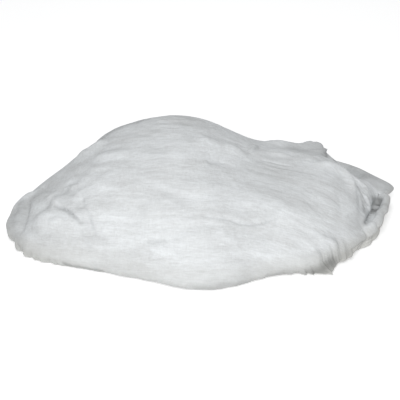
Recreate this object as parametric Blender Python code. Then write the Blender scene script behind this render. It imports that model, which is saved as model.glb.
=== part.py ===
"""A disposable bouffant cap of thin non-woven cloth, lying slack on a surface with its mouth down.

The cap is one loose disc of cloth drawn in at its edge by an elastic hem. The crown is modelled
as a sheet of rings and spokes: it runs from the top of the crown out to the widest contour, rolls
under, and lies on the surface as far as the hem. At the right-hand end the hem shows: there the
cloth drops straight down from a standing lip, behind which the crown sinks into a pocket.

Metres, +Z up, the surface at z = 0 and the origin under the middle of the cap.
"""

from collections import namedtuple

import bmesh
import bpy
import numpy as np

# Overall size of the slack cap as it lies
LENGTH = 0.326
DEPTH = 0.222
HEIGHT = 0.0845

# Cloth and hem
CLOTH = 0.0012
HEM_WIDTH = 0.0080
HEM_THICKNESS = 0.0024
HEM_ROUNDING = 0.0007
HEM_BEVEL = 0.0012
SEAT_GAP = 0.0003
PLEATS = 26
PLEAT_DEPTH = 0.0030

# Mouth of the slack cap, an oval inside the hem, and how far it sits to the right of the middle
MOUTH_LENGTH = 0.206
MOUTH_DEPTH = 0.104
MOUTH_SHIFT = 0.046
MOUTH_FORWARD = 0.006

# How the crown is carried over from its top to its contour. CROWN_TOP is in shares of LENGTH and
# DEPTH; the reaches are 0 at the top of the crown and 1 at the contour.
CROWN_TOP = (-0.05, 0.02)
CROWN_ROUNDNESS = 2.3
CROWN_FULLNESS = 0.56
OVAL_REACH = 0.55
PLEAT_REACH = 0.8
FOLD_REACH = 0.93

# How the cloth turns under, stands back along the lip, and runs out at the hem; the higher
# FLARE_LOW is, the nearer the surface its flare is widest
ROLL_INWARD = 0.013
LIP_INWARD = 0.003
BRINK = 0.0045
FLARE_LOW = 1.6

# Mesh fineness
SPOKES_PER_PLEAT = 4
TOP_RINGS = 13
ROLL_RINGS = 3
FLOOR_RINGS = 3

CLOTH_COLOUR = (0.80, 0.82, 0.82, 1.0)
HEM_COLOUR = (0.84, 0.85, 0.85, 1.0)

# The widest contour, counter-clockwise from the right-hand end. along and across are shares of
# LENGTH and DEPTH; roll is the height of the widest point as a share of HEIGHT; lip is 1 where
# the cloth drops straight to a standing hem; flare, a share of DEPTH, is how far its foot splays
# out on the surface; gather is how strongly its pleats show outside.
RimRow = namedtuple("RimRow", "along across roll lip flare gather")
RIM = [
    RimRow(0.499, 0.205, 0.17, 0.7, 0.000, 0.6),
    RimRow(0.462, 0.275, 0.18, 0.3, 0.000, 0.2),
    RimRow(0.395, 0.380, 0.19, 0.0, 0.000, 0.1),
    RimRow(0.300, 0.450, 0.17, 0.0, 0.000, 0.1),
    RimRow(0.190, 0.490, 0.14, 0.0, 0.000, 0.1),
    RimRow(0.060, 0.500, 0.14, 0.0, 0.000, 0.1),
    RimRow(-0.075, 0.485, 0.14, 0.0, 0.000, 0.1),
    RimRow(-0.210, 0.430, 0.14, 0.0, 0.000, 0.1),
    RimRow(-0.325, 0.340, 0.15, 0.0, 0.000, 0.1),
    RimRow(-0.420, 0.235, 0.16, 0.0, 0.000, 0.1),
    RimRow(-0.474, 0.075, 0.16, 0.0, 0.000, 0.1),
    RimRow(-0.499, -0.085, 0.16, 0.0, 0.000, 0.2),
    RimRow(-0.472, -0.180, 0.14, 0.0, 0.004, 0.4),
    RimRow(-0.425, -0.255, 0.12, 0.0, 0.014, 0.7),
    RimRow(-0.345, -0.310, 0.12, 0.0, 0.010, 0.4),
    RimRow(-0.250, -0.360, 0.12, 0.0, 0.000, 0.1),
    RimRow(-0.140, -0.430, 0.12, 0.0, 0.000, 0.0),
    RimRow(-0.040, -0.485, 0.12, 0.0, 0.000, 0.0),
    RimRow(0.040, -0.478, 0.12, 0.0, 0.000, 0.0),
    RimRow(0.140, -0.410, 0.12, 0.0, 0.000, 0.1),
    RimRow(0.228, -0.368, 0.12, 0.0, 0.020, 0.4),
    RimRow(0.279, -0.338, 0.12, 0.0, 0.072, 1.0),
    RimRow(0.327, -0.272, 0.13, 0.2, 0.000, 1.0),
    RimRow(0.385, -0.205, 0.14, 0.7, 0.000, 0.8),
    RimRow(0.432, -0.128, 0.16, 1.0, 0.000, 0.8),
    RimRow(0.464, 0.002, 0.16, 1.0, 0.000, 0.8),
    RimRow(0.484, 0.135, 0.16, 1.0, 0.000, 0.8),
]

# Height of the crown along its length, before the folds; shares of LENGTH and HEIGHT.
SpineRow = namedtuple("SpineRow", "along height")
SPINE = [
    SpineRow(-0.50, 0.36),
    SpineRow(-0.38, 0.60),
    SpineRow(-0.26, 0.91),
    SpineRow(-0.14, 1.00),
    SpineRow(-0.02, 0.97),
    SpineRow(0.06, 0.83),
    SpineRow(0.14, 0.70),
    SpineRow(0.24, 0.60),
    SpineRow(0.32, 0.56),
    SpineRow(0.38, 0.46),
    SpineRow(0.50, 0.32),
]

# Main folds: a curve from start to end, bowed sideways, all shares of LENGTH and DEPTH (bow and
# width are shares of DEPTH), with its lift as a share of HEIGHT. A groove has a negative lift.
FoldRow = namedtuple("FoldRow", "name start_x start_y end_x end_y bow width lift")
FOLDS = [
    FoldRow("left lobe", -0.42, -0.16, -0.34, -0.22, 0.00, 0.10, 0.08),
    FoldRow("left arch", -0.46, -0.08, -0.33, -0.12, -0.06, 0.045, -0.06),
    FoldRow("rear flap", 0.18, 0.31, 0.292, 0.30, 0.02, 0.040, 0.07),
    FoldRow("flap tip", 0.275, 0.31, 0.310, 0.29, 0.00, 0.027, 0.07),
    FoldRow("rear step", 0.362, 0.44, 0.392, 0.18, 0.02, 0.046, -0.16),
    FoldRow("right bulge", 0.33, 0.14, 0.28, -0.12, 0.00, 0.170, 0.12),
    FoldRow("right pocket", 0.455, 0.16, 0.41, -0.10, 0.00, 0.040, -0.17),
]
FOLD_POINTS = 13
FOLD_END = 0.3  # share of its run over which a fold fades in and out


def catmull_rom(rows, position):
    """Columns of a closed table read at fractional row positions, on a smooth curve."""
    count = len(rows)
    first = np.floor(position).astype(int)
    t = (position - first)[:, None]
    before, here, after, beyond = (rows[(first + shift) % count] for shift in (-1, 0, 1, 2))
    return 0.5 * (
        2 * here
        + (after - before) * t
        + (2 * before - 5 * here + 4 * after - beyond) * t**2
        + (3 * here - before - 3 * after + beyond) * t**3
    )


def smooth_step(low, high, value):
    t = np.clip((value - low) / (high - low), 0.0, 1.0)
    return t * t * (3 - 2 * t)


def contour(spokes):
    """The widest contour, evenly spaced along its length, and the other columns of RIM there."""
    rows = np.array(RIM)
    fine = catmull_rom(rows, np.linspace(0, len(rows), 20 * len(rows) + 1))
    plan = fine[:, :2] * (LENGTH, DEPTH)
    size = plan.max(axis=0) - plan.min(axis=0)
    plan = (plan - (plan.max(axis=0) + plan.min(axis=0)) / 2) * (LENGTH, DEPTH) / size
    run = np.concatenate([[0], np.cumsum(np.linalg.norm(np.diff(plan, axis=0), axis=1))])
    stops = np.linspace(0, run[-1], spokes, endpoint=False)
    plan = np.column_stack([np.interp(stops, run, column) for column in plan.T])
    roll, lip, flare, gather = (np.interp(stops, run, column) for column in fine[:, 2:].T)
    return plan, roll * HEIGHT, np.clip(lip, 0, 1), np.maximum(flare, 0) * DEPTH, np.clip(gather, 0, 1)


def spine_height(x):
    """Height of the crown over a plan position along its length, on a smooth curve."""
    rows = np.array(SPINE)
    stations, heights = rows.T
    slopes = np.gradient(heights, stations)
    share = np.clip(x / LENGTH, stations[0], stations[-1])
    i = np.clip(np.searchsorted(stations, share) - 1, 0, len(rows) - 2)
    gap = stations[i + 1] - stations[i]
    t = (share - stations[i]) / gap
    curve = (
        (1 + 2 * t) * (1 - t) ** 2 * heights[i]
        + t * (1 - t) ** 2 * gap * slopes[i]
        + t**2 * (3 - 2 * t) * heights[i + 1]
        + t**2 * (t - 1) * gap * slopes[i + 1]
    )
    return curve * HEIGHT


def fold_lift(plan):
    """Sum of the folds' lifts over plan points; each fold fades out towards its two ends."""
    total = np.zeros(plan.shape[:-1])
    share = np.linspace(0, 1, FOLD_POINTS)
    for fold in FOLDS:
        start = np.array([fold.start_x * LENGTH, fold.start_y * DEPTH])
        end = np.array([fold.end_x * LENGTH, fold.end_y * DEPTH])
        run = end - start
        sideways = np.array([-run[1], run[0]]) / np.hypot(*run)
        bowed = fold.bow * DEPTH * np.sin(np.pi * share)[:, None] * sideways
        curve = start + share[:, None] * run + bowed
        away = np.linalg.norm(plan[..., None, :] - curve, axis=-1)
        strength = np.exp(-((away / (fold.width * DEPTH)) ** 2))
        strength *= smooth_step(-FOLD_END, FOLD_END, share)
        strength *= smooth_step(-FOLD_END, FOLD_END, 1 - share)
        total += fold.lift * HEIGHT * strength.max(axis=-1)
    return total


def dome(reach):
    """Share of the crown's height that is left at a reach of 0 (its top) to 1 (the contour)."""
    return (1 - reach**CROWN_ROUNDNESS) ** CROWN_FULLNESS


def top_surface(plan, reach, roll):
    """Height of the crown over plan points."""
    folds = fold_lift(plan) * smooth_step(1.0, FOLD_REACH, reach)
    return roll + (spine_height(plan[..., 0]) - roll) * dome(reach) + folds


def pleat_wave(spokes):
    """0 on the crest and 1 in the valley of each pleat, round the cap."""
    return 0.5 - 0.5 * np.cos(2 * np.pi * PLEATS * np.arange(spokes) / spokes)


def toward(points, centre):
    """Unit plan directions from the centre out to the points."""
    away = points - centre
    return away / np.linalg.norm(away, axis=1)[:, None]


def hem_edge(plan, outward, lip):
    """Where the cloth meets the hem, with the hem's two directions: along the cloth, and inward.

    The hem lies flat on the surface round the mouth's oval and stands on edge along the lip."""
    reach = SEAT_GAP + HEM_WIDTH
    middle = np.array([MOUTH_SHIFT, -MOUTH_FORWARD])
    half = np.array([MOUTH_LENGTH, MOUTH_DEPTH]) / 2
    angle = np.arctan2(*((plan - middle) / half).T[::-1])
    oval = middle + (half + reach) * np.column_stack([np.cos(angle), np.sin(angle)])
    spot = oval * (1 - lip)[:, None] + (plan - outward * LIP_INWARD) * lip[:, None]
    outward = toward(spot, middle)
    stand = 0.5 * np.pi * lip
    along = np.column_stack([-outward * np.cos(stand)[:, None], -np.sin(stand)])
    into = np.column_stack([-outward * np.sin(stand)[:, None], np.cos(stand)])
    return np.column_stack([spot, reach * np.sin(stand)]), along, into


def crown_rings(spokes):
    """Rings of outer-surface points from the crown's top to the hem, and the hem's directions."""
    plan, roll, lip, flare, gather = contour(spokes)
    centre = np.array(CROWN_TOP) * (LENGTH, DEPTH)
    outward = toward(plan, centre)
    angle = np.arctan2(*((plan - centre) / (LENGTH, DEPTH)).T[::-1])
    oval = 0.5 * np.column_stack([LENGTH * np.cos(angle), DEPTH * np.sin(angle)])
    wave = pleat_wave(spokes)
    rings = []
    for k in range(1, TOP_RINGS + 1):
        share = k / TOP_RINGS
        reach = 0.5 * share + 0.5 * np.sin(0.5 * np.pi * share)
        blend = smooth_step(OVAL_REACH, 1.0, reach)
        spot = centre + ((oval * (1 - blend) + plan * blend) - centre) * reach
        pleat = PLEAT_DEPTH * wave * gather * smooth_step(PLEAT_REACH, 1.0, reach)
        height = top_surface(spot, reach, roll)
        rings.append(np.column_stack([spot - outward * pleat[:, None], height]))
    edge, along, into = hem_edge(plan, outward, lip)
    brink = edge - along * BRINK
    under = toward(plan, brink[:, :2])
    last = ROLL_RINGS + FLOOR_RINGS - 1
    for k in range(1, last + 1):
        turn = min(k / ROLL_RINGS, 1.0)
        run = max(k - ROLL_RINGS, 0) / (FLOOR_RINGS - 1)
        start = plan - under * ROLL_INWARD * (1 - np.cos(0.5 * np.pi * turn))
        flat = np.column_stack([start, roll * (1 - np.sin(0.5 * np.pi * turn))])
        flat += (brink - flat) * run
        flat[:, :2] += outward * (flare * np.sin(np.pi * turn**FLARE_LOW))[:, None]
        crest = np.column_stack([plan, roll])
        steep = crest + (brink - crest) * k / last
        spot = flat * (1 - lip)[:, None] + steep * lip[:, None]
        show = gather * np.maximum(1 - turn, lip)
        spot -= np.column_stack([outward * (PLEAT_DEPTH * wave * show)[:, None], np.zeros(spokes)])
        rings.append(spot + into * (PLEAT_DEPTH * wave * (1 - show) * smooth_step(0, 1, run))[:, None])
    rings.append(rings[-1] + along * BRINK)
    return centre, rings, along, into


def add_material(obj, name, colour, roughness):
    material = bpy.data.materials.new(name)
    material.use_nodes = True
    shader = material.node_tree.nodes["Principled BSDF"]
    shader.inputs["Base Color"].default_value = colour
    shader.inputs["Roughness"].default_value = roughness
    shader.inputs["Metallic"].default_value = 0.0
    obj.data.materials.append(material)


def new_object(name, mesh_maker):
    """An object whose mesh is made by mesh_maker in a fresh bmesh."""
    mesh = bpy.data.meshes.new(name)
    bm = bmesh.new()
    mesh_maker(bm)
    bmesh.ops.recalc_face_normals(bm, faces=bm.faces)
    bm.to_mesh(mesh)
    bm.free()
    mesh.shade_smooth()
    obj = bpy.data.objects.new(name, mesh)
    bpy.context.scene.collection.objects.link(obj)
    return obj


def join_loops(bm, inner, outer):
    """A band of quads between two closed loops of vertices with as many points each."""
    count = len(inner)
    for i in range(count):
        j = (i + 1) % count
        bm.faces.new((inner[i], outer[i], outer[j], inner[j]))


def build_crown(centre, rings):
    """The cloth: its outer surface as rings and spokes, thickened inward."""

    def sheet(bm):
        top = bm.verts.new((*centre, top_surface(centre, 0.0, 0.0)))
        loops = [[bm.verts.new(point) for point in ring] for ring in rings]
        for i, here in enumerate(loops[0]):
            bm.faces.new((top, here, loops[0][(i + 1) % len(loops[0])]))
        for inner, outer in zip(loops, loops[1:]):
            join_loops(bm, inner, outer)

    crown = new_object("crown", sheet)
    if crown.data.polygons[0].normal.z < 0:
        crown.data.flip_normals()
    wall = crown.modifiers.new("Cloth", "SOLIDIFY")
    wall.thickness = CLOTH
    wall.offset = -1.0
    add_material(crown, "non_woven_cloth", CLOTH_COLOUR, 0.9)
    return crown


def build_hem(edge, along, into):
    """The elastic hem: a band that carries the cloth on past its edge, rounded at its far side."""
    near, far = SEAT_GAP, SEAT_GAP + HEM_WIDTH
    section = [
        (near, 0.0),
        (far - HEM_ROUNDING, 0.0),
        (far, HEM_ROUNDING),
        (far, HEM_THICKNESS - HEM_ROUNDING),
        (far - HEM_ROUNDING, HEM_THICKNESS),
        (near + HEM_BEVEL, HEM_THICKNESS),
    ]

    def band(bm):
        loops = [
            [bm.verts.new(edge[i] + along[i] * run + into[i] * rise) for i in range(len(edge))]
            for run, rise in section
        ]
        for inner, outer in zip(loops, loops[1:] + loops[:1]):
            join_loops(bm, inner, outer)

    hem = new_object("elastic_hem", band)
    add_material(hem, "elastic_hem", HEM_COLOUR, 0.85)
    return hem


def main():
    for obj in list(bpy.data.objects):
        bpy.data.objects.remove(obj)
    centre, rings, along, into = crown_rings(PLEATS * SPOKES_PER_PLEAT)
    build_crown(centre, rings)
    build_hem(rings[-1], along, into)


main()
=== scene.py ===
import itertools
from collections import namedtuple

import bpy
import numpy as np
from mathutils import Matrix


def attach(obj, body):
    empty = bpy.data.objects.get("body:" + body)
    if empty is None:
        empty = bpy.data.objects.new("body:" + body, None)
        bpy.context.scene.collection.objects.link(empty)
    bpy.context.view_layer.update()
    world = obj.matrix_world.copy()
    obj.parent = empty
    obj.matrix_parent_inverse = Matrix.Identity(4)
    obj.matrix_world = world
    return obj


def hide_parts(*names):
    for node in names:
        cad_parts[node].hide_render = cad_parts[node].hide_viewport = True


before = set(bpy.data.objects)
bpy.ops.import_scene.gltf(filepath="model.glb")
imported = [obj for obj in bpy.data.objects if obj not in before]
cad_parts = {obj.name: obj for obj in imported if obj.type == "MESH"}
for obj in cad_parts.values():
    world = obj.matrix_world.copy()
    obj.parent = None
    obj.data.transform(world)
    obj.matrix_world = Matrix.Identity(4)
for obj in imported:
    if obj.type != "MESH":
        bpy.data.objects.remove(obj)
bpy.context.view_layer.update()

# The cap's sizes, in metres, the same as those of its solids
LENGTH = 0.326
DEPTH = 0.222
HEIGHT = 0.0845
HEM_WIDTH = 0.0080
SEAT_GAP = 0.0003
MOUTH_LENGTH = 0.206
MOUTH_DEPTH = 0.104
MOUTH_SHIFT = 0.046
MOUTH_FORWARD = 0.006

# The crown's form: where its top is, as shares of the length and depth, the two exponents of its
# dome, the shares of the way out from which its rings follow the contour and its folds die away,
# how far it rolls inward below the contour, how far inside the lip the hem stands, at how many
# points a fold's run is read, and over what share of it the fold rises at each end
CROWN_TOP = (-0.05, 0.02)
CROWN_ROUNDNESS = 2.3
CROWN_FULLNESS = 0.56
OVAL_REACH = 0.55
FOLD_REACH = 0.93
ROLL_INWARD = 0.013
LIP_INWARD = 0.003
FOLD_POINTS = 13
FOLD_END = 0.3

# The last of the cloth, which lies flat beside the hem, and how low on the roll the foot splays
BRINK = 0.0045
FLARE_LOW = 1.6

# The cloth's streaks run along the cap in planes that lean back by this many degrees from level,
# and drop away towards the right-hand end from a point along it, by this much at the end, ever
# more steeply
GRAIN_LEAN = 27.0
GRAIN_DROP_FROM = 0.005
GRAIN_DROP = 0.050
GRAIN_DROP_BEND = 1.7

# Fineness of the cloth: points of the contour to a row of RIM, stops round it that place the
# spokes, the spokes and how they crowd together where it is gathered, and the rings over the
# crown, round its roll, and along the surface that it lies on
RIM_STEPS = 60
TURN_STEPS = 4000
SPOKES = 720
GATHER_CROWDING = 2.2
TOP_RINGS = 102
ROLL_RINGS = 10
FLOOR_RINGS = 14

# Pleats of the gathered edge: the spokes that each takes, their mean and least strength, their
# depth in metres above the edge, and how far out they begin, within what limits; then their depth
# under the cap, and the shares of the way in over which they grow. They all but vanish towards
# the lip.
SPOKES_PER_PLEAT = 5
PLEAT_MEAN = 0.62
PLEAT_LEAST = 0.12
PLEAT_DEPTH = 0.0006
PLEAT_REACH = 0.988
PLEAT_REACH_ENDS = (0.90, 0.997)
PLEAT_LIP_FADE = 3.0
PLEAT_ON_LIP = 0.05
UNDER_PLEAT_DEPTH = 0.0078
UNDER_PLEAT_START = 0.15
UNDER_PLEAT_FULL = 0.8
UNDER_PLEAT_LIP_FADE = 2.0
UNDER_PLEAT_ON_LIP = 0.12

# Waves round the cap, which sway the pleats, vary their strength and where they begin, and move
# the cloth's edge: bumps to a radian, where in the noise they start, its seed, and their size,
# in radians of a pleat, as a share, or in metres. The edge's moves begin at LOOSE_REACH of the
# way out to it.
RoundRow = namedtuple("RoundRow", "bumps start seed size")
PLEAT_SWAY = RoundRow(8, 9, 5, 4.0)
PLEAT_FINE_SWAY = RoundRow(19, 4, 8, 1.2)
PLEAT_STRENGTH = RoundRow(15, 31, 6, 0.55)
PLEAT_TOPS = RoundRow(24, 17, 9, 0.0096)
TIPS = RoundRow(20, 83, 10, 1.0)
RUFFLES = RoundRow(14, 57, 7, 0.00078)
LIP_WAVES = RoundRow(5, 12, 11, 0.0012)
LOOSE_REACH = 0.93

# Torn-looking tips of the foot: how sharp, how far they stand out where it is most gathered, and
# how soon they grow with the gathering
TIP_SHARPNESS = 1.5
TIP_DEPTH = 0.0090
TIP_GATHER = 1.8

# The gathered corner's foot splays a little less than the solid's, and turned this many degrees
# forward where it splays by more than the first share of the depth, and fully by the second
SPLAY_SHARE = 0.82
SPLAY_TURN = 6.0
SPLAY_TURN_RUN = (0.01, 0.05)

# The hem's section: shares of its width, and heights in metres, with the elastic's channel sunk
# along its middle on both faces
HEM_SECTION = [
    (0.00, 0.0010), (0.10, 0.0003), (0.28, 0.0000), (0.42, 0.0004),
    (0.50, 0.0007), (0.58, 0.0004), (0.72, 0.0000), (0.90, 0.0003),
    (1.00, 0.0010), (0.90, 0.0017), (0.72, 0.0022), (0.58, 0.0018),
    (0.50, 0.0014), (0.42, 0.0018), (0.28, 0.0022), (0.10, 0.0017),
]

# The cloth is darkened to a warm grey, part wear and part painted shade under its roll and in its
# gathers, from this many rings above the contour to this many below it, by the least share where
# it isn't gathered; and the hem, darkened all over, mostly as painted shade, by its own share
WEAR_AND_SHADE_ABOVE = 9
WEAR_AND_SHADE_BELOW = 4
WEAR_AND_SHADE_LEAST = 0.55
HEM_WEAR_AND_SHADE = 0.9

# The camera, at the photograph's viewing angle, and the side of its square picture, in pixels
CAMERA_ELEVATION = 27.0
CAMERA_DISTANCE = 1.0
CAMERA_LENS = 109.0
CAMERA_TARGET = (-0.0045, -0.0023, 0.0255)
CAMERA_CLIP = (0.05, 20.0)
SENSOR = 36.0
IMAGE = 400

# The contour from above, from the back at the right-hand end round by the left: shares of the
# length and depth, the roll's height as a share of the height, how much it is a standing lip, how
# far its foot splays as a share of the depth, and how gathered it is
RimRow = namedtuple("RimRow", "along across roll lip flare gather")
RIM = [
    RimRow(0.499, 0.205, 0.17, 0.7, 0.000, 0.6),
    RimRow(0.462, 0.275, 0.18, 0.3, 0.000, 0.2),
    RimRow(0.395, 0.380, 0.19, 0.0, 0.000, 0.1),
    RimRow(0.300, 0.450, 0.17, 0.0, 0.000, 0.1),
    RimRow(0.190, 0.490, 0.14, 0.0, 0.000, 0.1),
    RimRow(0.060, 0.500, 0.14, 0.0, 0.000, 0.1),
    RimRow(-0.075, 0.485, 0.14, 0.0, 0.000, 0.1),
    RimRow(-0.210, 0.430, 0.14, 0.0, 0.000, 0.1),
    RimRow(-0.325, 0.340, 0.15, 0.0, 0.000, 0.1),
    RimRow(-0.420, 0.235, 0.16, 0.0, 0.000, 0.1),
    RimRow(-0.474, 0.075, 0.16, 0.0, 0.000, 0.1),
    RimRow(-0.499, -0.085, 0.16, 0.0, 0.000, 0.2),
    RimRow(-0.472, -0.180, 0.14, 0.0, 0.004, 0.4),
    RimRow(-0.425, -0.255, 0.12, 0.0, 0.014, 0.7),
    RimRow(-0.345, -0.310, 0.12, 0.0, 0.010, 0.4),
    RimRow(-0.250, -0.360, 0.12, 0.0, 0.000, 0.1),
    RimRow(-0.140, -0.430, 0.12, 0.0, 0.000, 0.0),
    RimRow(-0.040, -0.485, 0.12, 0.0, 0.000, 0.0),
    RimRow(0.040, -0.478, 0.12, 0.0, 0.000, 0.0),
    RimRow(0.140, -0.410, 0.12, 0.0, 0.000, 0.1),
    RimRow(0.228, -0.368, 0.12, 0.0, 0.020, 0.4),
    RimRow(0.279, -0.338, 0.12, 0.0, 0.072, 1.0),
    RimRow(0.327, -0.272, 0.13, 0.2, 0.000, 1.0),
    RimRow(0.385, -0.205, 0.14, 0.7, 0.000, 0.8),
    RimRow(0.432, -0.128, 0.16, 1.0, 0.000, 0.8),
    RimRow(0.464, 0.002, 0.16, 1.0, 0.000, 0.8),
    RimRow(0.484, 0.135, 0.16, 1.0, 0.000, 0.8),
]

# The crown's height along its length, as shares of the sizes
SpineRow = namedtuple("SpineRow", "along height")
SPINE = [
    SpineRow(-0.50, 0.36),
    SpineRow(-0.38, 0.60),
    SpineRow(-0.26, 0.91),
    SpineRow(-0.14, 1.00),
    SpineRow(-0.02, 0.97),
    SpineRow(0.06, 0.83),
    SpineRow(0.14, 0.70),
    SpineRow(0.24, 0.60),
    SpineRow(0.32, 0.56),
    SpineRow(0.38, 0.46),
    SpineRow(0.50, 0.32),
]

# The main folds: from where to where and how bowed, as shares of the length and depth, how wide as
# a share of the depth, and how far they lift the cloth as a share of the height
FoldRow = namedtuple("FoldRow", "name start_x start_y end_x end_y bow width lift")
FOLDS = [
    FoldRow("left lobe", -0.42, -0.16, -0.34, -0.22, 0.00, 0.10, 0.08),
    FoldRow("left arch", -0.46, -0.08, -0.33, -0.12, -0.06, 0.045, -0.06),
    FoldRow("rear flap", 0.18, 0.31, 0.292, 0.30, 0.02, 0.040, 0.07),
    FoldRow("flap tip", 0.275, 0.31, 0.310, 0.29, 0.00, 0.027, 0.07),
    FoldRow("rear step", 0.362, 0.44, 0.392, 0.18, 0.02, 0.046, -0.16),
    FoldRow("right bulge", 0.33, 0.14, 0.28, -0.12, 0.00, 0.170, 0.12),
    FoldRow("right pocket", 0.455, 0.16, 0.41, -0.10, 0.00, 0.040, -0.17),
]

# Places along the front where the foot stands out further, or less where splay is negative: the
# cloth beside the gathered corner, and torn-looking tips; in metres, run is the half-width
FootRow = namedtuple("FootRow", "name place run splay")
FOOT = [
    FootRow("beside the corner", 0.1085, 0.0090, 0.0062),
    FootRow("right tip", 0.0745, 0.0018, 0.0050),
    FootRow("right tear", 0.0685, 0.0020, -0.0020),
    FootRow("left tear one", -0.1560, 0.0024, -0.0034),
    FootRow("left tear two", -0.1495, 0.0016, -0.0022),
    FootRow("left tip one", -0.1440, 0.0016, 0.0018),
    FootRow("left tear three", -0.1385, 0.0018, -0.0018),
    FootRow("left tip two", -0.1315, 0.0016, 0.0014),
    FootRow("left tear four", -0.1250, 0.0022, -0.0018),
]

# Notches between the scallops of the lip, by their place across the cap; in metres, run is how
# soon a notch fades to either side
NotchRow = namedtuple("NotchRow", "across run depth")
NOTCHES = [
    NotchRow(0.0310, 0.0018, 0.0040),
    NotchRow(-0.0070, 0.0026, 0.0036),
    NotchRow(-0.0290, 0.0024, 0.0036),
    NotchRow(-0.0420, 0.0020, 0.0030),
]

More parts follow.
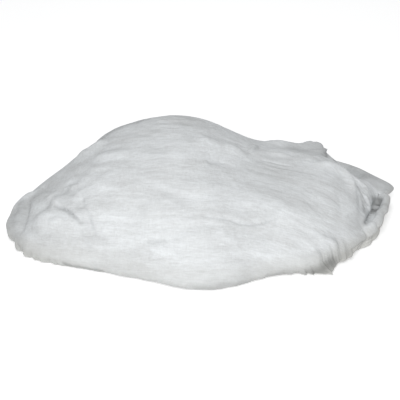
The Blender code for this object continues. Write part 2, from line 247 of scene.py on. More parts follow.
# Creases that the photograph shows, as points of its picture. A step is a fold whose upper side
# (left side, walking along the points) stands proud; a ridge or groove is the same on both sides.
# proud is in metres, negative for a groove; sharp is its half-width, fade how far a step's proud
# side takes to settle back.
CreaseRow = namedtuple("CreaseRow", "name kind proud sharp fade points")
CREASES = [
    CreaseRow("arch crease", "step", 0.0026, 0.0014, 0.01,
              [(40, 209), (50, 206), (58, 206), (67, 208), (76, 214), (87, 224)]),
    CreaseRow("arch line", "groove", -0.0034, 0.0013, 0,
              [(54, 206), (62, 208), (69, 211), (76, 216), (83, 223)]),
    CreaseRow("lobe swell", "ridge", 0.0040, 0.0115, 0, [(28, 224), (54, 218), (84, 228)]),
    CreaseRow("puff", "ridge", 0.0030, 0.0056, 0, [(50, 192), (55, 199), (62, 203)]),
    CreaseRow("lobe rib", "ridge", 0.0012, 0.0022, 0, [(48, 224), (57, 221), (67, 217)]),
    CreaseRow("lobe seam", "groove", -0.0024, 0.0028, 0, [(30, 196), (26, 210), (23, 221), (19, 236)]),
    CreaseRow("lobe rim", "ridge", 0.0020, 0.0034, 0, [(24, 200), (20, 209), (16, 220)]),
    CreaseRow("left bead one", "ridge", 0.0022, 0.0030, 0, [(62, 191), (69, 188), (77, 188)]),
    CreaseRow("left bead two", "ridge", 0.0014, 0.0028, 0, [(73, 194), (76, 198), (77, 203)]),
    CreaseRow("left bead three", "ridge", 0.0015, 0.0024, 0, [(80, 208), (83, 213), (84, 218)]),
    CreaseRow("left hollow", "groove", -0.0030, 0.0030, 0,
              [(79, 190), (79, 198), (82, 205), (84, 213), (88, 221), (91, 231), (98, 242)]),
    CreaseRow("brow swell", "ridge", 0.0022, 0.0055, 0, [(70, 170), (86, 167), (104, 170)]),
    CreaseRow("brow fold", "ridge", 0.0017, 0.0044, 0,
              [(60, 184), (74, 178), (90, 178), (100, 184), (106, 194)]),
    CreaseRow("left streak", "ridge", 0.0020, 0.0030, 0,
              [(72, 213), (78, 221), (85, 232), (93, 244), (101, 255)]),
    CreaseRow("left streak low", "ridge", 0.0008, 0.0030, 0, [(40, 240), (56, 238), (72, 243)]),
    CreaseRow("rear overlap", "step", 0.0022, 0.0014, 0.008,
              [(246, 154), (252, 151), (257, 147), (258, 143)]),
    CreaseRow("shoulder rise", "ridge", 0.0034, 0.0080, 0,
              [(74, 157), (86, 150), (98, 143), (108, 137)]),
    CreaseRow("flap ridge", "ridge", 0.0018, 0.0030, 0,
              [(250, 156), (260, 152), (276, 154), (296, 158)]),
    CreaseRow("flap fill", "ridge", 0.0020, 0.0090, 0, [(262, 150), (284, 152), (308, 156), (322, 160)]),
    CreaseRow("flap line", "groove", -0.0012, 0.0024, 0,
              [(250, 160), (262, 159), (278, 162), (296, 166)]),
    CreaseRow("flap tip", "step", 0.0036, 0.0012, 0.01,
              [(322, 155), (326, 150), (328, 147), (327, 143)]),
    CreaseRow("flap corner", "ridge", 0.0022, 0.0040, 0, [(314, 144), (320, 144), (325, 148)]),
    CreaseRow("flap drop", "groove", -0.0036, 0.0060, 0, [(331, 148), (335, 154), (338, 160)]),
    CreaseRow("left shoulder", "ridge", 0.0032, 0.0062, 0, [(13, 213), (19, 203), (27, 196), (35, 192)]),
    CreaseRow("left notch", "groove", -0.0018, 0.0034, 0, [(41, 184), (45, 187), (50, 190)]),
    CreaseRow("upper crease", "groove", -0.0010, 0.0020, 0,
              [(207, 160), (214, 161), (221, 160), (229, 162)]),
    CreaseRow("upper swell", "ridge", 0.0040, 0.0098, 0,
              [(190, 137), (203, 141), (215, 144), (226, 148), (238, 152), (257, 160)]),
    CreaseRow("middle crease", "step", 0.0014, 0.0010, 0.006,
              [(199, 209), (208, 216), (226, 217), (241, 222), (259, 222), (274, 217), (288, 209)]),
    CreaseRow("middle line", "groove", -0.0016, 0.0010, 0,
              [(199, 210), (208, 217), (226, 218), (241, 223), (259, 223), (274, 218), (288, 210)]),
    CreaseRow("lower crease", "groove", -0.0016, 0.0010, 0,
              [(142, 239), (150, 242), (160, 241), (171, 239)]),
    CreaseRow("right brow", "ridge", 0.0042, 0.0050, 0,
              [(308, 163), (328, 165), (344, 172), (352, 184), (355, 200)]),
    CreaseRow("right edge", "groove", -0.0014, 0.0036, 0,
              [(352, 182), (359, 192), (362, 206), (360, 222)]),
    CreaseRow("flap edge", "step", 0.0030, 0.0011, 0.012,
              [(384, 198), (376, 195), (368, 191), (362, 185)]),
    CreaseRow("flap lower line", "ridge", 0.0014, 0.0022, 0,
              [(343, 169), (356, 178), (366, 186), (375, 192)]),
    CreaseRow("inner fold", "ridge", 0.0024, 0.0015, 0,
              [(363, 190), (366, 198), (369, 206), (370, 213)]),
    CreaseRow("inner line", "groove", -0.0022, 0.0012, 0, [(361, 192), (364, 200), (367, 209)]),
    CreaseRow("pocket", "groove", -0.0058, 0.0028, 0, [(379, 198), (376, 204), (374, 210)]),
    CreaseRow("pocket foot", "groove", -0.0040, 0.0020, 0, [(375, 207), (371, 216), (366, 225)]),
    CreaseRow("lip swell", "ridge", 0.0026, 0.0032, 0, [(387, 199), (381, 211), (374, 222), (366, 236)]),
    CreaseRow("corner fold", "ridge", 0.0024, 0.0022, 0,
              [(299, 266), (306, 261), (314, 257), (323, 254)]),
    CreaseRow("bulge band one", "ridge", 0.0006, 0.0034, 0,
              [(345, 186), (349, 200), (348, 214), (343, 228)]),
    CreaseRow("bulge band two", "groove", -0.0006, 0.0034, 0,
              [(337, 188), (341, 202), (340, 218), (335, 232)]),
    CreaseRow("long valley", "groove", -0.0016, 0.0130, 0,
              [(150, 166), (200, 170), (250, 176), (295, 184), (330, 196)]),
    CreaseRow("long ridge", "ridge", 0.0014, 0.0100, 0,
              [(236, 200), (268, 203), (300, 213), (328, 227)]),
    CreaseRow("middle swell", "ridge", 0.0026, 0.0110, 0, [(136, 206), (164, 211), (194, 217)]),
    CreaseRow("left upper swell", "ridge", 0.0018, 0.0050, 0, [(90, 156), (110, 152), (132, 152)]),
    CreaseRow("lower spur", "ridge", 0.0016, 0.0028, 0, [(318, 236), (330, 240), (342, 246)]),
]

# A crease is read at this many spots, works out to this many times its half-width, and tapers off
# over this share of its length at each end; a shade likewise, without a taper
CREASE_SPOTS = 48
CREASE_REACH = 4
CREASE_TAPER = 0.28
SHADE_SPOTS = 24
SHADE_REACH = 3

# A spot of a path over the picture falls on the nearest of the cloth points that show this close
# to it, in pixels, or this much further off than the closest; the spots are then evened out
SPOT_REACH = 1.6
SPOT_SLACK = 0.8
SPOT_ROUNDS = 12

# Painted shade, darkening the cloth in hollows, folds and creases and under its edges: how dark,
# the half-width in metres, and points of the photograph's picture
ShadeRow = namedtuple("ShadeRow", "name dark spread points")
SHADES = [
    ShadeRow("pocket", 0.46, 0.0036, [(378, 199), (377, 204), (375, 209)]),
    ShadeRow("pocket top", 0.30, 0.0024, [(371, 198), (375, 199), (380, 199)]),
    ShadeRow("pocket foot", 0.36, 0.0021, [(375, 208), (372, 213), (369, 218), (365, 223)]),
    ShadeRow("corner pleats", 0.52, 0.0050, [(314, 273), (321, 270), (327, 266), (333, 260)]),
    ShadeRow("rear flap", 0.26, 0.0110, [(296, 148), (316, 147), (328, 155)]),
    ShadeRow("right flap", 0.28, 0.0095, [(350, 166), (370, 176), (388, 187)]),
    ShadeRow("right valley", 0.14, 0.0060, [(356, 196), (360, 208), (359, 222)]),
    ShadeRow("left end", 0.22, 0.0110, [(20, 210), (11, 224), (14, 238)]),
    ShadeRow("left foot", 0.08, 0.0050, [(20, 249), (34, 257), (50, 261), (64, 264)]),
    ShadeRow("right foot", 0.13, 0.0080, [(342, 258), (354, 249), (362, 240)]),
    ShadeRow("lip band", 0.05, 0.0070, [(366, 238), (376, 222), (385, 205)]),
    ShadeRow("inner line", 0.34, 0.0026, [(359, 187), (363, 195), (365, 204), (365, 212)]),
    ShadeRow("bulge foot", 0.13, 0.0080, [(338, 232), (349, 232), (358, 226)]),
    ShadeRow("left slivers", 0.42, 0.0018, [(64, 266), (78, 269), (90, 271), (102, 273)]),
    ShadeRow("lobe foot", 0.07, 0.0070, [(24, 231), (34, 234), (46, 237)]),
    ShadeRow("front belly", 0.06, 0.0110, [(194, 281), (215, 283), (242, 279)]),
    ShadeRow("front foot", 0.18, 0.0040, [(200, 290), (222, 287), (250, 282)]),
    ShadeRow("right front foot", 0.22, 0.0045, [(268, 278), (288, 274), (306, 277)]),
    ShadeRow("upper left edge", 0.26, 0.0064,
             [(78, 153), (92, 141), (106, 130), (124, 122), (142, 119)]),
    ShadeRow("arch shadow", 0.18, 0.0014, [(56, 207), (62, 208), (69, 212), (76, 217), (81, 223)]),
    ShadeRow("mound shadow", 0.06, 0.0040, [(68, 190), (73, 198), (79, 207), (84, 217)]),
    ShadeRow("overlap", 0.07, 0.0015, [(258, 143), (257, 147), (252, 151), (247, 154)]),
    ShadeRow("behind the brow", 0.08, 0.0055, [(292, 157), (314, 159), (336, 165)]),
    ShadeRow("crown dip", 0.05, 0.0060, [(184, 118), (186, 128), (190, 139)]),
    ShadeRow("upper line", 0.11, 0.0016, [(208, 160), (214, 161), (220, 160), (227, 162)]),
    ShadeRow("upper band one", 0.10, 0.0055, [(102, 149), (132, 147), (162, 150)]),
    ShadeRow("upper band two", 0.07, 0.0070, [(204, 163), (232, 169), (262, 169)]),
    ShadeRow("right shoulder", 0.13, 0.0240, [(284, 176), (312, 188), (336, 206)]),
    ShadeRow("flap hollow", 0.16, 0.0042, [(327, 153), (333, 157), (342, 162)]),
    ShadeRow("left rim", 0.12, 0.0045, [(28, 203), (34, 196), (42, 191)]),
    ShadeRow("seam foot", 0.10, 0.0045, [(24, 222), (28, 229), (36, 231)]),
]

# Wrinkles, from broad to fine: length, width and proud in metres, patch the size of the places
# where they come and go, crisp from 0 for soft waves to 1 for sharp crests
WrinkleRow = namedtuple("WrinkleRow", "length width patch proud crisp seed")
WRINKLES = [
    WrinkleRow(0.110, 0.042, 0.090, 0.0026, 0.0, 21),
    WrinkleRow(0.048, 0.018, 0.050, 0.0019, 0.2, 22),
    WrinkleRow(0.036, 0.010, 0.040, 0.0013, 0.5, 23),
    WrinkleRow(0.024, 0.006, 0.030, 0.0008, 0.5, 24),
    WrinkleRow(0.015, 0.004, 0.022, 0.0005, 0.3, 25),
    WrinkleRow(0.024, 0.022, 0.050, 0.0014, 0.0, 26),
]

# A wrinkle is this many times as thick, into the cap, as it is wide; a crisp one falls away from
# its crest by CREST_FALL; and its strength is a level, plus or minus a swing, up to a most, by a
# noise whose seed is PATCH_SEED more than the wrinkle's
WRINKLE_THICKNESS = 2.2
CREST_FALL = 2.4
PATCH_LEVEL = 0.40
PATCH_SWING = 1.1
PATCH_MOST = 1.3
PATCH_SEED = 3

# The noise has a table of this many slopes, and its gain brings it to about -1 to 1
NOISE_TABLE = 256
NOISE_GAIN = 1.6

# Ways in which the wrinkles wander: along the grain (0) or from streak to streak (1), the size of
# the bends, where in the noise they start, its seed, and how far they go, in metres
WarpRow = namedtuple("WarpRow", "column size start seed sway")
WARPS = [
    WarpRow(0, 0.045, 5.1, 10, 0.012),
    WarpRow(1, 0.070, 3.3, 11, 0.013),
    WarpRow(1, (0.034, 0.022, 0.034), 8.2, 12, 0.0040),
]

# Runs along the cap, from start to end, over which the wrinkles weaken by a share and stay so
CalmRow = namedtuple("CalmRow", "start end share")
CALMS = [
    CalmRow(0.045, 0.130, 0.72),
    CalmRow(-0.095, -0.115, 0.85),
]

# Fibres, from broad clouds to fine hatching: bumps to the metre along the grain, from streak to
# streak and into the cap; detail, roughness and warp of the noise; and its weight in how dense the
# cloth looks, and in its relief
FibreRow = namedtuple("FibreRow", "name bumps detail roughness warp density relief")
FIBRES = [
    FibreRow("cloud", (13.0, 62.0, 30.0), 4.0, 0.62, 0.6, 1.55, 0.0),
    FibreRow("streak", (42.0, 270.0, 130.0), 3.0, 0.62, 0.8, 0.75, 0.8),
    FibreRow("fibre", (150.0, 900.0, 400.0), 2.0, 0.60, 0.3, 0.88, 0.6),
    FibreRow("hatch", (620.0, 240.0, 160.0), 3.0, 0.65, 1.0, 0.68, 0.4),
]
RELIEF_STRENGTH = 0.55
RELIEF_HEIGHT = 0.0006

# Colours: of the cloth and the hem, and how see-through both are; shares of them where the fibres
# lie thin and where they lie dense; the warm grey of wear and painted shade at the edge, and by how
# much that shows; and of the painted shade in the folds and hollows of SHADES
CLOTH_TINT = (0.80, 0.823, 0.837)
CLOTH_SEE_THROUGH = 0.25
HEM_TINT = (0.82, 0.84, 0.84)
HEM_SEE_THROUGH = 0.10
THIN_SHARES = (0.79, 0.78, 0.77)
DENSE_SHARE = 1.09
WEAR_AND_SHADE_COLOUR = (0.50, 0.495, 0.465, 1)
WEAR_AND_SHADE_SHOWS = 0.8
PAINTED_SHADE_COLOUR = (0.085, 0.085, 0.080, 1)
MATT = 0.9
SHEEN = 0.2

# A mix node's sockets for the amount and its two colours, and its output for a colour
MIX_SOCKETS = (0, 6, 7)
MIX_OUTPUT = 2

# The studio: a pale floor just under the cap, which glows a little, and a pale surround
FLOOR_HALF = 3
FLOOR_DROP = 0.0004
FLOOR_WHITE = (0.92, 0.92, 0.92)
FLOOR_GLOW = 0.30
SURROUND = (0.98, 0.99, 1.0, 1)
SURROUND_STRENGTH = 0.35

# Soft square lights: where each stands and what it points at, its side, and its power in watts
LightRow = namedtuple("LightRow", "name place aim side power")
LIGHTS = [
    LightRow("front_soft", (-0.08, -1.30, 1.00), (0, 0, 0.03), 0.7, 19.6),
    LightRow("back_soft", (0.0, 0.75, 1.10), (0, 0.40, 0), 0.9, 3.5),
]


def smooth_step(low, high, value):
    t = np.clip((value - low) / (high - low), 0.0, 1.0)
    return t * t * (3 - 2 * t)


def spline(before, here, after, beyond, t):
    """A smooth curve through rows of points, at a share t of the way from here to after."""
    return 0.5 * (
        2 * here
        + (after - before) * t
        + (2 * before - 5 * here + 4 * after - beyond) * t**2
        + (3 * here - before - 3 * after + beyond) * t**3
    )


def closed_curve(rows, position):
    """Columns of a closed table read at fractional row positions."""
    first = np.floor(position).astype(int)
    near = (rows[(first + shift) % len(rows)] for shift in (-1, 0, 1, 2))
    return spline(*near, (position - first)[:, None])


def open_curve(points, count):
    """A curve through a few points, read at evenly spaced positions."""
    rows = np.array(points, dtype=float)
    rows = np.array([2 * rows[0] - rows[1], *rows, 2 * rows[-1] - rows[-2]])
    position = np.linspace(1, len(rows) - 2 - 1e-6, count)
    first = np.floor(position).astype(int)
    near = (rows[first + shift] for shift in (-1, 0, 1, 2))
    return spline(*near, (position - first)[:, None])


def contour(turns):
    """The widest contour at shares of its length, and the other columns of RIM there."""
    rows = np.array(RIM)
    fine = closed_curve(rows, np.linspace(0, len(rows), RIM_STEPS * len(rows) + 1))
    plan = fine[:, :2] * (LENGTH, DEPTH)
    size = plan.max(axis=0) - plan.min(axis=0)
    plan = (plan - (plan.max(axis=0) + plan.min(axis=0)) / 2) * (LENGTH, DEPTH) / size
    run = np.concatenate([[0], np.cumsum(np.linalg.norm(np.diff(plan, axis=0), axis=1))])
    stops = turns * run[-1]
    plan = np.column_stack([np.interp(stops, run, column) for column in plan.T])
    roll, lip, flare, gather = (np.interp(stops, run, column) for column in fine[:, 2:].T)
    return plan, roll * HEIGHT, np.clip(lip, 0, 1), np.maximum(flare, 0) * DEPTH, np.clip(gather, 0, 1)


def spine_height(x):
    """Height of the crown over a plan position along its length, on a smooth curve."""
    rows = np.array(SPINE)
    stations, heights = rows.T
    slopes = np.gradient(heights, stations)
    share = np.clip(x / LENGTH, stations[0], stations[-1])
    i = np.clip(np.searchsorted(stations, share) - 1, 0, len(rows) - 2)
    gap = stations[i + 1] - stations[i]
    t = (share - stations[i]) / gap
    curve = (
        (1 + 2 * t) * (1 - t) ** 2 * heights[i]
        + t * (1 - t) ** 2 * gap * slopes[i]
        + t**2 * (3 - 2 * t) * heights[i + 1]
        + t**2 * (t - 1) * gap * slopes[i + 1]
    )
    return curve * HEIGHT


def fold_lift(plan):
    """Sum of the main folds' lifts over plan points; each fades out towards its two ends."""
    total = np.zeros(plan.shape[:-1])
    share = np.linspace(0, 1, FOLD_POINTS)
    for fold in FOLDS:
        start = np.array([fold.start_x * LENGTH, fold.start_y * DEPTH])
        end = np.array([fold.end_x * LENGTH, fold.end_y * DEPTH])
        run = end - start
        sideways = np.array([-run[1], run[0]]) / np.hypot(*run)
        bowed = fold.bow * DEPTH * np.sin(np.pi * share)[:, None] * sideways
        curve = start + share[:, None] * run + bowed
        away = np.linalg.norm(plan[..., None, :] - curve, axis=-1)
        strength = np.exp(-((away / (fold.width * DEPTH)) ** 2))
        strength *= smooth_step(-FOLD_END, FOLD_END, share)
        strength *= smooth_step(-FOLD_END, FOLD_END, 1 - share)
        total += fold.lift * HEIGHT * strength.max(axis=-1)
    return total


def top_surface(plan, reach, roll):
    """Height of the crown over plan points that lie this share of the way out to the contour."""
    dome = (1 - reach**CROWN_ROUNDNESS) ** CROWN_FULLNESS
    folds = fold_lift(plan) * smooth_step(1.0, FOLD_REACH, reach)
    return roll + (spine_height(plan[..., 0]) - roll) * dome + folds


def toward(points, centre):
    away = points - centre
    return away / np.linalg.norm(away, axis=1)[:, None]


def on_circle(points, centre, size):
    """Where points lie round a centre, on a circle, once an oval of this size is one."""
    angle = np.arctan2(*((points - centre) / size).T[::-1])
    return np.column_stack([np.cos(angle), np.sin(angle)])


def hem_edge(plan, outward, lip):
    """Where the cloth meets the hem, with the hem's two directions: along the cloth, and inward."""
    reach = SEAT_GAP + HEM_WIDTH
    middle = np.array([MOUTH_SHIFT, -MOUTH_FORWARD])
    half = np.array([MOUTH_LENGTH, MOUTH_DEPTH]) / 2
    oval = middle + (half + reach) * on_circle(plan, middle, half)
    spot = oval * (1 - lip)[:, None] + (plan - outward * LIP_INWARD) * lip[:, None]
    outward = toward(spot, middle)
    stand = 0.5 * np.pi * lip
    along = np.column_stack([-outward * np.cos(stand)[:, None], -np.sin(stand)])
    into = np.column_stack([-outward * np.sin(stand)[:, None], np.cos(stand)])
    return np.column_stack([spot, reach * np.sin(stand)]), along, into


def gradient_noise(points, seed):
    """Smooth noise from about -1 to 1 over points of any number of columns, one bump to a unit."""
    rng = np.random.RandomState(seed)
    order = rng.permutation(NOISE_TABLE)
    slope = rng.normal(size=(NOISE_TABLE, points.shape[1]))
    slope /= np.linalg.norm(slope, axis=1)[:, None]
    cell = np.floor(points).astype(int)
    t = points - cell
    ease = t**3 * (t * (t * 6 - 15) + 10)
    total = np.zeros(len(points))
    for corner in itertools.product((0, 1), repeat=points.shape[1]):
        pick = np.zeros(len(points), int)
        for column, step in enumerate(corner):
            pick = order[(pick + cell[:, column] + step) % NOISE_TABLE]
        weight = np.where(np.array(corner) == 1, ease, 1 - ease).prod(axis=1)
        total += weight * ((t - corner) * slope[pick]).sum(axis=1)
    return NOISE_GAIN * total


def spoke_turns():
    """Shares of the contour's length where the spokes meet it."""
    even = np.linspace(0, 1, TURN_STEPS + 1)
    *_, gather = contour(even)
    crowd = 1 + GATHER_CROWDING * gather
    run = np.concatenate([[0], np.cumsum((crowd[1:] + crowd[:-1]) / 2)])
    return np.interp(np.arange(SPOKES) / SPOKES, run / run[-1], even)


Spokes = namedtuple("Spokes", "plan outward roll lip gather lip_calm wave tops loose notch splay")


def spokes_round():
    """What the cloth is like where each spoke meets the contour. Wave runs from 0 on the crest to 1
    in the valley of each pleat, tops is how far out the pleats begin, loose how far the edge is
    drawn inward, and splay how far, and which way, the foot stands out."""
    plan, roll, lip, flare, gather = contour(spoke_turns())
    outward = toward(plan, np.array(CROWN_TOP) * (LENGTH, DEPTH))
    round_turn = 2 * np.pi * np.arange(SPOKES) / SPOKES
    circle = np.column_stack([np.cos(round_turn), np.sin(round_turn)])

    def around(row):
        return row.size * gradient_noise(circle * row.bumps + row.start, row.seed)

    sway = around(PLEAT_SWAY) + around(PLEAT_FINE_SWAY)
    strength = np.clip(PLEAT_MEAN + around(PLEAT_STRENGTH), PLEAT_LEAST, 1)
    wave = strength * (0.5 - 0.5 * np.cos(round_turn * SPOKES / SPOKES_PER_PLEAT + sway))
    tops = np.clip(PLEAT_REACH + around(PLEAT_TOPS), *PLEAT_REACH_ENDS)
    tips = np.maximum(around(TIPS), 0) ** TIP_SHARPNESS
    notch = np.zeros(SPOKES)
    for row in NOTCHES:
        notch += row.depth * np.exp(-np.abs(plan[:, 1] - row.across) / row.run) * lip
    loose = around(RUFFLES) * gather * (1 - lip) + around(LIP_WAVES) * lip + notch
    splay = SPLAY_SHARE * flare + TIP_DEPTH * tips * np.clip(TIP_GATHER * gather, 0, 1) * (1 - lip)
    for row in FOOT:
        splay += row.splay * np.exp(-(((plan[:, 0] - row.place) / row.run) ** 2)) * (plan[:, 1] < 0)
    turn = np.radians(SPLAY_TURN) * smooth_step(*SPLAY_TURN_RUN, flare / DEPTH)
    splay_way = np.column_stack([
        outward[:, 0] * np.cos(turn) + outward[:, 1] * np.sin(turn),
        outward[:, 1] * np.cos(turn) - outward[:, 0] * np.sin(turn),
    ])
    lip_calm = np.clip(1 - PLEAT_LIP_FADE * lip, PLEAT_ON_LIP, 1)
    return Spokes(
        plan, outward, roll, lip, gather, lip_calm, wave, tops, loose, notch, splay_way * splay[:, None]
    )


def crown_rings(spokes):
    """Rings of cloth points from the crown's top out to the contour."""
    centre = np.array(CROWN_TOP) * (LENGTH, DEPTH)
    oval = np.array([LENGTH, DEPTH]) / 2 * on_circle(spokes.plan, centre, (LENGTH, DEPTH))
    rings = []
    for k in range(1, TOP_RINGS + 1):
        share = k / TOP_RINGS
        reach = 0.5 * share + 0.5 * np.sin(0.5 * np.pi * share)
        blend = smooth_step(OVAL_REACH, 1.0, reach)
        spot = centre + ((oval * (1 - blend) + spokes.plan * blend) - centre) * reach
        pleat = PLEAT_DEPTH * spokes.wave * spokes.gather * spokes.lip_calm
        pull = pleat * smooth_step(spokes.tops, 1.0, reach)
        pull += spokes.loose * smooth_step(LOOSE_REACH, 1.0, reach)
        height = top_surface(spot, reach, spokes.roll)
        rings.append(np.column_stack([spot - spokes.outward * pull[:, None], height]))
    return rings


def under_rings(spokes, brink, into):
    """Rings from the contour to the brink: round the roll and along the floor, or down the lip,
    pleated upward into the cap where they lie under it."""
    lip = spokes.lip[:, None]
    under = toward(spokes.plan, brink[:, :2])
    crest = np.column_stack([spokes.plan, spokes.roll])
    calm = np.clip(1 - UNDER_PLEAT_LIP_FADE * spokes.lip, UNDER_PLEAT_ON_LIP, 1)
    last = ROLL_RINGS + FLOOR_RINGS - 1
    rings = []
    for k in range(1, last + 1):
        bend = min(k / ROLL_RINGS, 1.0)
        run = max(k - ROLL_RINGS, 0) / (FLOOR_RINGS - 1)
        start = spokes.plan - under * ROLL_INWARD * (1 - np.cos(0.5 * np.pi * bend))
        flat = np.column_stack([start, spokes.roll * (1 - np.sin(0.5 * np.pi * bend))])
        flat += (brink - flat) * run
        flat[:, :2] += spokes.splay * np.sin(np.pi * bend**FLARE_LOW)
        steep = crest + (brink - crest) * k / last
        show = spokes.gather * np.maximum(1 - bend, spokes.lip)
        pull = PLEAT_DEPTH * spokes.wave * show * spokes.lip_calm + spokes.loose * (1 - k / last)
        grow = smooth_step(-UNDER_PLEAT_START, UNDER_PLEAT_FULL, run)
        grow *= smooth_step(0, UNDER_PLEAT_START, run)
        tuck = UNDER_PLEAT_DEPTH * spokes.wave * (1 - show) * calm * grow
        spot = flat * (1 - lip) + steep * lip
        spot[:, :2] -= spokes.outward * pull[:, None]
        rings.append(spot + into * tuck[:, None])
    return rings


def cloth_rings():
    """Rings of cloth points from the crown's top to the hem, the hem's two directions, and how
    gathered the cloth is along each spoke."""
    spokes = spokes_round()
    pulled = spokes.plan - spokes.outward * spokes.notch[:, None]
    edge, along, into = hem_edge(pulled, spokes.outward, spokes.lip)
    brink = edge - along * BRINK
    rings = crown_rings(spokes) + under_rings(spokes, brink, into)
    end = rings[-1]
    for share in (0.5, 1.0):
        rings.append(end + along * BRINK * share)
    centre = np.array(CROWN_TOP) * (LENGTH, DEPTH)
    top = np.array([*centre, top_surface(centre, 0.0, 0.0)])
    return top, np.array(rings), along, into, spokes.gather


def camera_axes():
    lean = np.radians(CAMERA_ELEVATION)
    back = np.array([0.0, -np.cos(lean), np.sin(lean)])
    right = np.array([1.0, 0.0, 0.0])
    return right, np.cross(back, right), back


def to_picture(points):
    """Where points show in the photograph's frame, in its pixels, and how far off they are."""
    right, up, back = camera_axes()
    away = points - np.array(CAMERA_TARGET)
    depth = CAMERA_DISTANCE - away @ back
    scale = CAMERA_LENS / SENSOR * IMAGE / depth
    across = IMAGE / 2 + (away @ right) * scale
    down = IMAGE / 2 - (away @ up) * scale
    return np.column_stack([across, down]), depth


def spots_on_cloth(path, cloth, seen, depth):
    """The nearest cloth point to the camera under each point of a path over the picture."""
    spots = []
    for point in path:
        close = np.linalg.norm(seen - point, axis=1)
        near = np.flatnonzero(close < max(close.min() + SPOT_SLACK, SPOT_REACH))
        spots.append(cloth[near[np.argmin(depth[near])]])
    spots = np.array(spots)
    for _ in range(SPOT_ROUNDS):
        spots[1:-1] = (spots[:-2] + 2 * spots[1:-1] + spots[2:]) / 4
    return spots


def off_the_path(cloth, spots, reach):
    """The cloth points within reach of a row of spots, how far off they are, and the spot nearest."""
    box = np.all((cloth > spots.min(axis=0) - reach) & (cloth < spots.max(axis=0) + reach), axis=1)
    pick = np.flatnonzero(box)
    away = np.linalg.norm(cloth[pick, None, :] - spots, axis=2)
    nearest = away.argmin(axis=1)
    return pick, away[np.arange(len(pick)), nearest], nearest


def crease_lift(cloth, seen, depth):
    """How far each cloth point stands proud because of the creases in CREASES."""
    total = np.zeros(len(cloth))
    for row in CREASES:
        path = open_curve(row.points, CREASE_SPOTS)
        spots = spots_on_cloth(path, cloth, seen, depth)
        pick, away, nearest = off_the_path(cloth, spots, CREASE_REACH * max(row.sharp, row.fade))
        share = nearest / (CREASE_SPOTS - 1)
        taper = smooth_step(0, CREASE_TAPER, share) * smooth_step(1, 1 - CREASE_TAPER, share)
        if row.kind == "step":
            heading = np.gradient(path, axis=0)[nearest]
            offset = seen[pick] - path[nearest]
            side = np.sign(heading[:, 0] * -offset[:, 1] + heading[:, 1] * offset[:, 0])
            signed = away * side
            rise = 0.5 + 0.5 * np.tanh(signed / row.sharp)
            lift = rise * np.exp(-np.maximum(signed, 0) / row.fade)
        else:
            lift = np.exp(-((away / row.sharp) ** 2))
        total[pick] += row.proud * lift * taper
    return total


def shade_of(cloth, seen, depth):
    """How much painted shade each cloth point takes, from 0 for none to 1 for black, by the rows of
    SHADES.
    """
    light = np.ones(len(cloth))
    for row in SHADES:
        spots = spots_on_cloth(open_curve(row.points, SHADE_SPOTS), cloth, seen, depth)
        pick, away, _ = off_the_path(cloth, spots, SHADE_REACH * row.spread)
        light[pick] *= 1 - row.dark * np.exp(-((away / row.spread) ** 2))
    return 1 - light


def grain_coordinates(points):
    """Along the streaks, from one streak to the next, and along the planes that they lie in."""
    lean = np.radians(GRAIN_LEAN)
    x, y, z = points.T
    run = np.clip((x - GRAIN_DROP_FROM) / (LENGTH / 2 - GRAIN_DROP_FROM), 0, 1)
    drop = GRAIN_DROP * run**GRAIN_DROP_BEND
    across = y * np.sin(lean) + z * np.cos(lean) + drop
    inward = y * np.cos(lean) - z * np.sin(lean)
    return np.column_stack([x, across, inward])


def wrinkle_lift(grain):
    """Soft wrinkles that run along the cap and come and go in patches, in metres."""
    warped = grain.copy()
    for row in WARPS:
        warped[:, row.column] += gradient_noise(grain / row.size + row.start, row.seed) * row.sway
    total = np.zeros(len(grain))
    for row in WRINKLES:
        size = (row.length, row.width, WRINKLE_THICKNESS * row.width)
        value = gradient_noise(warped / size + row.seed, row.seed)
        creased = 1 - CREST_FALL * np.abs(value)
        value = value * (1 - row.crisp) + creased * row.crisp
        patch = PATCH_SWING * gradient_noise(grain / row.patch + row.seed, row.seed + PATCH_SEED)
        total += row.proud * np.clip(PATCH_LEVEL + patch, 0, PATCH_MOST) * value
    calm = sum(row.share * smooth_step(row.start, row.end, grain[:, 0]) for row in CALMS)
    return total * (1 - calm)


def vertex_normals(points, faces):
    a, b, c = points[faces[:, 0]], points[faces[:, 1]], points[faces[:, 2]]
    normal = np.cross(b - a, c - a)
    total = np.zeros_like(points)
    for column in range(3):
        np.add.at(total, faces[:, column], normal)
    return total / np.maximum(np.linalg.norm(total, axis=1), 1e-12)[:, None]


def keep_attribute(mesh, name, values):
    vector = values.ndim == 2
    kept = mesh.attributes.new(name, "FLOAT_VECTOR" if vector else "FLOAT", "POINT")
    kept.data.foreach_set("vector" if vector else "value", values.astype(np.float32).ravel())


def link(obj):
    bpy.context.scene.collection.objects.link(obj)
    return obj


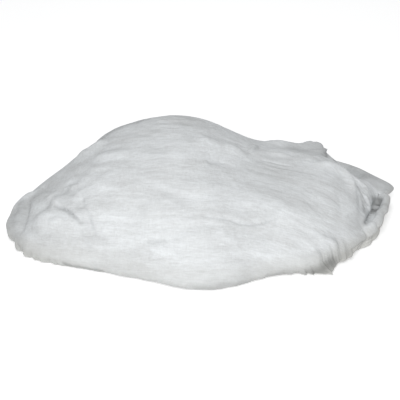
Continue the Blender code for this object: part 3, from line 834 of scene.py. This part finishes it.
def build_cloth(top, rings, gather):
    """The crown's cloth as one sheet, with its creases, wrinkles and pleats."""
    count = rings.shape[1]
    points = np.vstack([top[None], rings.reshape(-1, 3)])
    ring, spoke = np.meshgrid(np.arange(rings.shape[0] - 1), np.arange(count), indexing="ij")
    here = 1 + ring * count + spoke
    beside = 1 + ring * count + (spoke + 1) % count
    quads = np.stack([here, here + count, beside + count, beside], axis=-1).reshape(-1, 4)
    first = 1 + np.arange(count)
    fan = np.column_stack([np.zeros(count, int), first, 1 + (np.arange(count) + 1) % count])
    triangles = np.vstack([fan, quads[:, [0, 1, 2]], quads[:, [0, 2, 3]]])
    normal = vertex_normals(points, triangles)
    seen, depth = to_picture(points)
    open_top = np.zeros(len(points), bool)
    open_top[: 1 + (TOP_RINGS + ROLL_RINGS // 2) * count] = True
    lift = np.zeros(len(points))
    lift[open_top] = crease_lift(points[open_top], seen[open_top], depth[open_top])
    # Painted shade, by the rows of SHADES
    shade = np.zeros(len(points))
    shade[open_top] = shade_of(points[open_top], seen[open_top], depth[open_top])
    settle = np.ones(rings.shape[0])
    settle[TOP_RINGS:] = np.linspace(1, 0, rings.shape[0] - TOP_RINGS) ** 2
    settle[TOP_RINGS + ROLL_RINGS:] = 0
    settle = np.concatenate([[1.0], np.repeat(settle, count)])
    grain = grain_coordinates(points)
    lift += wrinkle_lift(grain) * settle
    points = points + normal * lift[:, None]
    points[:, 2] = np.maximum(points[:, 2], 0.0)
    # Wear and painted shade: darker round the roll from a few rings above the contour, more where
    # gathered
    wear_and_shade = smooth_step(TOP_RINGS - WEAR_AND_SHADE_ABOVE, TOP_RINGS + WEAR_AND_SHADE_BELOW, np.arange(rings.shape[0]))
    wear_and_shade = wear_and_shade[:, None] * (WEAR_AND_SHADE_LEAST + (1 - WEAR_AND_SHADE_LEAST) * gather)
    mesh = bpy.data.meshes.new("cloth")
    mesh.from_pydata(points.tolist(), [], fan.tolist() + quads.tolist())
    mesh.update()
    mesh.shade_smooth()
    keep_attribute(mesh, "grain", grain)
    keep_attribute(mesh, "wear_and_shade", np.append(0, wear_and_shade))
    keep_attribute(mesh, "shade", shade)
    return link(bpy.data.objects.new("cloth", mesh))


def build_hem(edge, along, into):
    """The hem: a flat gathered tube with the elastic's channel sunk along its middle."""
    mesh = bpy.data.meshes.new("hem")
    loops = [edge + along * (HEM_WIDTH * run) + into * rise for run, rise in HEM_SECTION]
    count = len(edge)
    points = np.vstack(loops)
    points[:, 2] = np.maximum(points[:, 2], 0.0)
    faces = []
    for k in range(len(HEM_SECTION)):
        a, b = k * count, ((k + 1) % len(HEM_SECTION)) * count
        for i in range(count):
            j = (i + 1) % count
            faces.append((a + i, b + i, b + j, a + j))
    mesh.from_pydata(points.tolist(), [], faces)
    mesh.update()
    mesh.shade_smooth()
    keep_attribute(mesh, "grain", points)
    # The hem is darkened all over, mostly as painted shade
    keep_attribute(mesh, "wear_and_shade", np.full(len(points), HEM_WEAR_AND_SHADE))
    keep_attribute(mesh, "shade", np.zeros(len(points)))
    return link(bpy.data.objects.new("hem", mesh))


def non_woven(name, tint, see_through):
    """Spun-bonded cloth: matt white, fine streaks of fibre, a little see-through, with wear and
    painted shade at its edge, most where gathered, and painted shade in its folds and hollows."""
    material = bpy.data.materials.new(name)
    material.use_nodes = True
    nodes, links = material.node_tree.nodes, material.node_tree.links
    nodes.clear()

    def feed(socket, value):
        """Gives a socket its value: a number, a colour, or what another node gives."""
        if isinstance(value, bpy.types.NodeSocket):
            links.new(value, socket)
        else:
            socket.default_value = value

    def attribute(kind):
        node = nodes.new("ShaderNodeAttribute")
        node.attribute_name = kind
        return node.outputs

    def noise(row):
        """A noise over the grain coordinates."""
        mapping = nodes.new("ShaderNodeMapping")
        feed(mapping.inputs["Scale"], row.bumps)
        feed(mapping.inputs["Vector"], grain)
        texture = nodes.new("ShaderNodeTexNoise")
        feed(texture.inputs["Scale"], 1.0)
        feed(texture.inputs["Detail"], row.detail)
        feed(texture.inputs["Roughness"], row.roughness)
        feed(texture.inputs["Distortion"], row.warp)
        feed(texture.inputs["Vector"], mapping.outputs["Vector"])
        return texture.outputs["Fac"]

    def add(part, weight, start):
        """A part times its weight, on top of a start."""
        step = nodes.new("ShaderNodeMath")
        step.operation = "MULTIPLY_ADD"
        feed(step.inputs[0], part)
        feed(step.inputs[1], weight)
        feed(step.inputs[2], start)
        return step.outputs["Value"]

    def total(weights):
        """The weighted sum of the noises, a half on the whole."""
        value = 0.5 - 0.5 * sum(weights)
        for part, weight in zip(noises, weights):
            if weight:
                value = add(part, weight, value)
        return value

    def blend(amount, first, second):
        """Two colours mixed."""
        mix = nodes.new("ShaderNodeMix")
        mix.data_type = "RGBA"
        for socket, value in zip(MIX_SOCKETS, (amount, first, second)):
            feed(mix.inputs[socket], value)
        return mix.outputs[MIX_OUTPUT]

    grain = attribute("grain")["Vector"]
    noises = [noise(row) for row in FIBRES]
    thin_tint = (*(c * share for c, share in zip(tint, THIN_SHARES)), 1)
    dense_tint = (*(c * DENSE_SHARE for c in tint), 1)
    colour = blend(total([row.density for row in FIBRES]), thin_tint, dense_tint)
    # Warm grey of wear and painted shade at the edge
    colour = blend(add(attribute("wear_and_shade")["Fac"], WEAR_AND_SHADE_SHOWS, 0.0), colour, WEAR_AND_SHADE_COLOUR)
    # Painted shade in folds, hollows and under edges, by the rows of SHADES
    colour = blend(attribute("shade")["Fac"], colour, PAINTED_SHADE_COLOUR)
    bump = nodes.new("ShaderNodeBump")
    feed(bump.inputs["Strength"], RELIEF_STRENGTH)
    feed(bump.inputs["Distance"], RELIEF_HEIGHT)
    feed(bump.inputs["Height"], total([row.relief for row in FIBRES]))
    shader = nodes.new("ShaderNodeBsdfPrincipled")
    feed(shader.inputs["Roughness"], MATT)
    feed(shader.inputs["Specular IOR Level"], SHEEN)
    feed(shader.inputs["Base Color"], colour)
    feed(shader.inputs["Normal"], bump.outputs["Normal"])
    thin = nodes.new("ShaderNodeBsdfTranslucent")
    feed(thin.inputs["Color"], colour)
    feed(thin.inputs["Normal"], bump.outputs["Normal"])
    both = nodes.new("ShaderNodeMixShader")
    feed(both.inputs["Fac"], see_through)
    feed(both.inputs[1], shader.outputs["BSDF"])
    feed(both.inputs[2], thin.outputs["BSDF"])
    out = nodes.new("ShaderNodeOutputMaterial")
    feed(out.inputs["Surface"], both.outputs["Shader"])
    return material


def floor_material():
    material = bpy.data.materials.new("floor_white")
    material.use_nodes = True
    shader = material.node_tree.nodes["Principled BSDF"]
    shader.inputs["Base Color"].default_value = (*FLOOR_WHITE, 1)
    shader.inputs["Roughness"].default_value = MATT
    shader.inputs["Emission Color"].default_value = (1, 1, 1, 1)
    shader.inputs["Emission Strength"].default_value = FLOOR_GLOW
    return material


def set_down(obj, place, right, up, back):
    """Puts an object in its place, turned so that its own axes point right, up and back."""
    turn = np.column_stack([right, up, back])
    obj.matrix_world = Matrix([[*turn[i], place[i]] for i in range(3)] + [[0, 0, 0, 1]])


def build_camera():
    right, up, back = camera_axes()
    data = bpy.data.cameras.new("camera")
    data.lens = CAMERA_LENS
    data.sensor_width = SENSOR
    data.clip_start, data.clip_end = CAMERA_CLIP
    camera = link(bpy.data.objects.new("camera", data))
    set_down(camera, np.array(CAMERA_TARGET) + back * CAMERA_DISTANCE, right, up, back)
    bpy.context.scene.camera = camera


def area_light(row):
    data = bpy.data.lights.new(row.name, "AREA")
    data.shape = "SQUARE"
    data.size = row.side
    data.energy = row.power
    back = np.array(row.place) - np.array(row.aim)
    back /= np.linalg.norm(back)
    right = np.cross([0, 0, 1.0], back)
    right /= np.linalg.norm(right)
    lamp = link(bpy.data.objects.new(row.name, data))
    set_down(lamp, row.place, right, np.cross(back, right), back)


def build_studio():
    """A plain pale floor and surround, one soft light from the front and a weaker one behind."""
    mesh = bpy.data.meshes.new("floor")
    corners = [(-1, -1), (1, -1), (1, 1), (-1, 1)]
    mesh.from_pydata([(x * FLOOR_HALF, y * FLOOR_HALF, 0) for x, y in corners], [], [(0, 1, 2, 3)])
    mesh.materials.append(floor_material())
    floor = link(bpy.data.objects.new("floor", mesh))
    floor.location.z = -FLOOR_DROP
    world = bpy.data.worlds.new("studio")
    world.use_nodes = True
    surround = world.node_tree.nodes["Background"]
    surround.inputs["Color"].default_value = SURROUND
    surround.inputs["Strength"].default_value = SURROUND_STRENGTH
    bpy.context.scene.world = world
    bpy.context.scene.view_settings.view_transform = "Standard"
    for row in LIGHTS:
        area_light(row)


build_camera()
top, rings, along, into, gather = cloth_rings()
cloth = build_cloth(top, rings, gather)
hem = build_hem(rings[-1] + along * SEAT_GAP, along, into)
cloth.data.materials.append(non_woven("non_woven_cloth", CLOTH_TINT, CLOTH_SEE_THROUGH))
hem.data.materials.append(non_woven("elastic_hem", HEM_TINT, HEM_SEE_THROUGH))
build_studio()

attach(cloth, "root")
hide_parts("crown")
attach(hem, "root")
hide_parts("elastic_hem")
